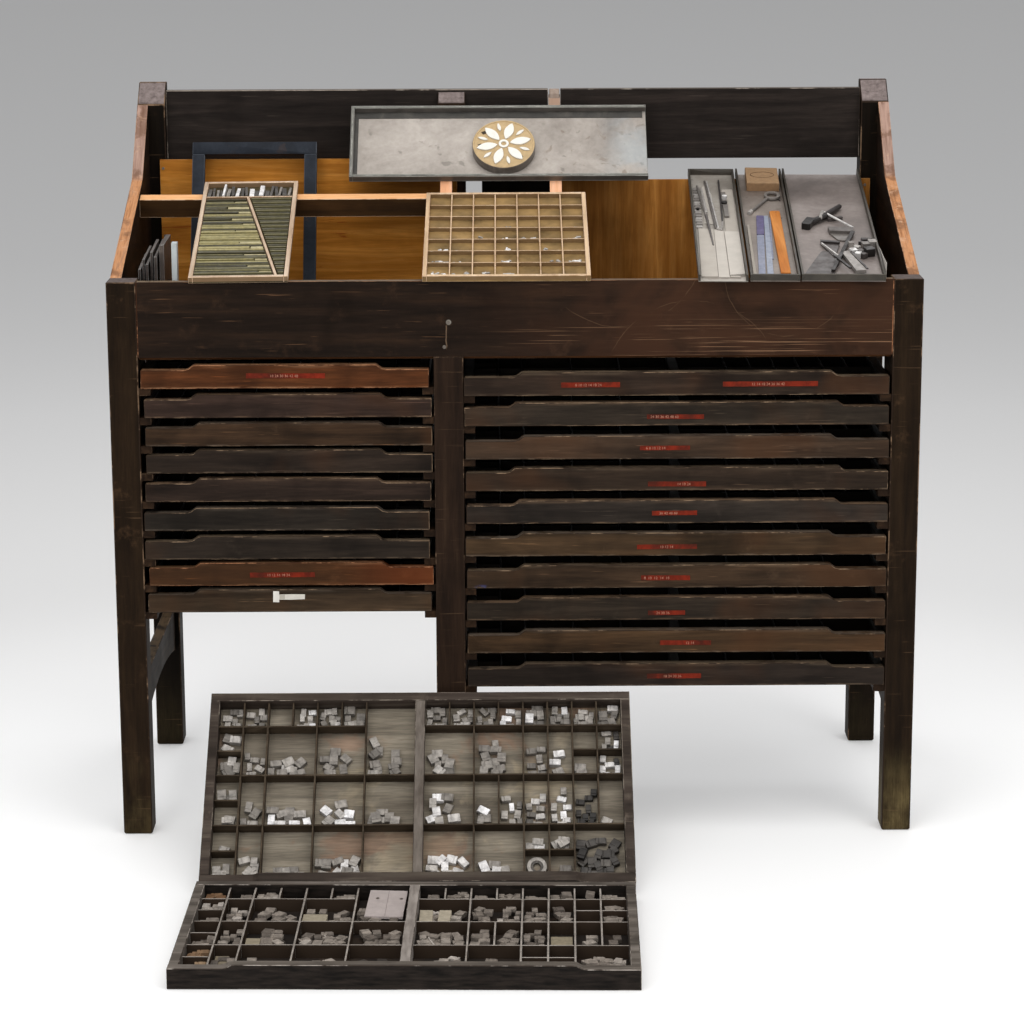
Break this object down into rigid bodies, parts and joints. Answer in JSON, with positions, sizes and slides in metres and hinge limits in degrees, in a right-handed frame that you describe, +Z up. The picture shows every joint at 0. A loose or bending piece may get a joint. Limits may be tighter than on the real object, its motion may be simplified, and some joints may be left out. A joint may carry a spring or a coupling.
{
  "type": "type case cabinet",
  "caption": "Wooden compositor's frame with two stacks of sliding type cases, a sloping open top with trays and galleys, and two type cases standing out in front of it.",
  "frame": {"origin": "on the floor, at the middle of the whole footprint, with the two cases that stand out in front counted in", "axes": "+X to the right seen from the front, along the long side; +Y to the back; +Z up"},
  "size_m": [1.564, 1.4124, 1.437],
  "materials": {
    "frame_wood": "dark worn varnish",
    "side_wood": "dark worn varnish, bare orange edge",
    "case_wood": "dark worn varnish",
    "case_wood_red": "worn reddish varnish",
    "inner_wood": "grey dusty bare wood",
    "plywood": "varnished plywood",
    "strip_wood": "bare pine",
    "light_wood": "bare light wood",
    "galley_metal": "stained zinc",
    "chase_iron": "oiled",
    "lead": "dull lead",
    "nail_steel": "dull",
    "block_wood": "maple block with printing face",
    "plate": "dull plates"
  },
  "bodies": {
    "cabinet": {"back_board_upper": "frame_wood", "back_panel_left": "plywood", "back_panel_right": "plywood", "back_plank_centre": "frame_wood", "bearer_left": "strip_wood", "bearer_right": "strip_wood", "bin_floor": "frame_wood", "bin_plates": "plate", "case_rail": "strip_wood", "front_apron": "frame_wood", "leg_back_left": "frame_wood", "leg_back_right": "frame_wood", "leg_front_left": "frame_wood", "leg_front_right": "frame_wood", "nails": "nail_steel", "post_back_centre": "frame_wood", "post_front_centre": "frame_wood", "runners_left_bay": "frame_wood", "runners_right_bay": "frame_wood", "side_board_left": "side_wood", "side_board_right": "side_wood", "side_stretcher_left": "frame_wood", "side_stretcher_right": "frame_wood"},
    "left_case_1": {"case_left_1": "case_wood_red"},
    "left_case_2": {"case_left_2": "case_wood"},
    "left_case_3": {"case_left_3": "case_wood"},
    "left_case_4": {"case_left_4": "case_wood"},
    "left_case_5": {"case_left_5": "case_wood"},
    "left_case_6": {"case_left_6": "case_wood"},
    "left_case_7": {"case_left_7": "case_wood"},
    "left_case_8": {"case_left_8": "case_wood_red"},
    "left_case_9": {"case_left_9": "case_wood"},
    "right_case_1": {"case_right_1": "case_wood"},
    "right_case_2": {"case_right_2": "case_wood"},
    "right_case_3": {"case_right_3": "case_wood"},
    "right_case_4": {"case_right_4": "case_wood"},
    "right_case_5": {"case_right_5": "case_wood"},
    "right_case_6": {"case_right_6": "case_wood"},
    "right_case_7": {"case_right_7": "case_wood"},
    "right_case_8": {"case_right_8": "case_wood"},
    "right_case_9": {"case_right_9": "case_wood"},
    "right_case_10": {"case_right_10": "case_wood"},
    "flat_case": {"flat_case_frame": "case_wood", "flat_case_bottom": "inner_wood", "flat_case_dividers": "inner_wood"},
    "leaning_case": {"leaning_case_frame": "case_wood", "leaning_case_bottom": "inner_wood", "leaning_case_dividers": "inner_wood"},
    "long_galley": {"galley_long": "galley_metal", "round_block": "block_wood"},
    "iron_chase": {"chase": "chase_iron"},
    "leads": {"lead_case": "light_wood", "lead_strips": "lead"},
    "spacing": {"spacing_case": "light_wood"},
    "narrow_galley_1": {"galley_narrow_1": "galley_metal"},
    "narrow_galley_2": {"galley_narrow_2": "galley_metal"},
    "wide_galley": {"galley_wide": "galley_metal"}
  },
  "joints": [
    {"name": "left_case_1_slide", "type": "slide", "parent": "cabinet", "child": "left_case_1", "axis": [0, -1, 0], "range_m": [0, 0.35]},
    {"name": "left_case_2_slide", "type": "slide", "parent": "cabinet", "child": "left_case_2", "axis": [0, -1, 0], "range_m": [0, 0.35]},
    {"name": "left_case_3_slide", "type": "slide", "parent": "cabinet", "child": "left_case_3", "axis": [0, -1, 0], "range_m": [0, 0.35]},
    {"name": "left_case_4_slide", "type": "slide", "parent": "cabinet", "child": "left_case_4", "axis": [0, -1, 0], "range_m": [0, 0.35]},
    {"name": "left_case_5_slide", "type": "slide", "parent": "cabinet", "child": "left_case_5", "axis": [0, -1, 0], "range_m": [0, 0.35]},
    {"name": "left_case_6_slide", "type": "slide", "parent": "cabinet", "child": "left_case_6", "axis": [0, -1, 0], "range_m": [0, 0.35]},
    {"name": "left_case_7_slide", "type": "slide", "parent": "cabinet", "child": "left_case_7", "axis": [0, -1, 0], "range_m": [0, 0.35]},
    {"name": "left_case_8_slide", "type": "slide", "parent": "cabinet", "child": "left_case_8", "axis": [0, -1, 0], "range_m": [0, 0.35]},
    {"name": "left_case_9_slide", "type": "slide", "parent": "cabinet", "child": "left_case_9", "axis": [0, -1, 0], "range_m": [0, 0.35]},
    {"name": "right_case_1_slide", "type": "slide", "parent": "cabinet", "child": "right_case_1", "axis": [0, -1, 0], "range_m": [0, 0.35]},
    {"name": "right_case_2_slide", "type": "slide", "parent": "cabinet", "child": "right_case_2", "axis": [0, -1, 0], "range_m": [0, 0.35]},
    {"name": "right_case_3_slide", "type": "slide", "parent": "cabinet", "child": "right_case_3", "axis": [0, -1, 0], "range_m": [0, 0.35]},
    {"name": "right_case_4_slide", "type": "slide", "parent": "cabinet", "child": "right_case_4", "axis": [0, -1, 0], "range_m": [0, 0.35]},
    {"name": "right_case_5_slide", "type": "slide", "parent": "cabinet", "child": "right_case_5", "axis": [0, -1, 0], "range_m": [0, 0.35]},
    {"name": "right_case_6_slide", "type": "slide", "parent": "cabinet", "child": "right_case_6", "axis": [0, -1, 0], "range_m": [0, 0.35]},
    {"name": "right_case_7_slide", "type": "slide", "parent": "cabinet", "child": "right_case_7", "axis": [0, -1, 0], "range_m": [0, 0.35]},
    {"name": "right_case_8_slide", "type": "slide", "parent": "cabinet", "child": "right_case_8", "axis": [0, -1, 0], "range_m": [0, 0.35]},
    {"name": "right_case_9_slide", "type": "slide", "parent": "cabinet", "child": "right_case_9", "axis": [0, -1, 0], "range_m": [0, 0.35]},
    {"name": "right_case_10_slide", "type": "slide", "parent": "cabinet", "child": "right_case_10", "axis": [0, -1, 0], "range_m": [0, 0.35]},
    {"name": "flat_case_lift", "type": "slide", "parent": "cabinet", "child": "flat_case", "axis": [0, 0, 1], "range_m": [0, 0.2]},
    {"name": "leaning_case_shift", "type": "slide", "parent": "cabinet", "child": "leaning_case", "axis": [-1, 0, 0], "range_m": [0, 0.3]},
    {"name": "long_galley_lift", "type": "slide", "parent": "cabinet", "child": "long_galley", "axis": [0, 0, 1], "range_m": [0, 0.12]},
    {"name": "chase_lift", "type": "slide", "parent": "cabinet", "child": "iron_chase", "axis": [0, 0, 1], "range_m": [0, 0.1]},
    {"name": "lead_case_lift", "type": "slide", "parent": "cabinet", "child": "leads", "axis": [0, -0.2825, 0.9593], "range_m": [0, 0.12]},
    {"name": "spacing_case_lift", "type": "slide", "parent": "cabinet", "child": "spacing", "axis": [0, -0.2782, 0.9605], "range_m": [0, 0.12]},
    {"name": "narrow_galley_1_lift", "type": "slide", "parent": "cabinet", "child": "narrow_galley_1", "axis": [0, -0.2177, 0.976], "range_m": [0, 0.12]},
    {"name": "narrow_galley_2_lift", "type": "slide", "parent": "cabinet", "child": "narrow_galley_2", "axis": [0, -0.2177, 0.976], "range_m": [0, 0.12]},
    {"name": "wide_galley_lift", "type": "slide", "parent": "cabinet", "child": "wide_galley", "axis": [0, -0.2177, 0.976], "range_m": [0, 0.12]}
  ]
}
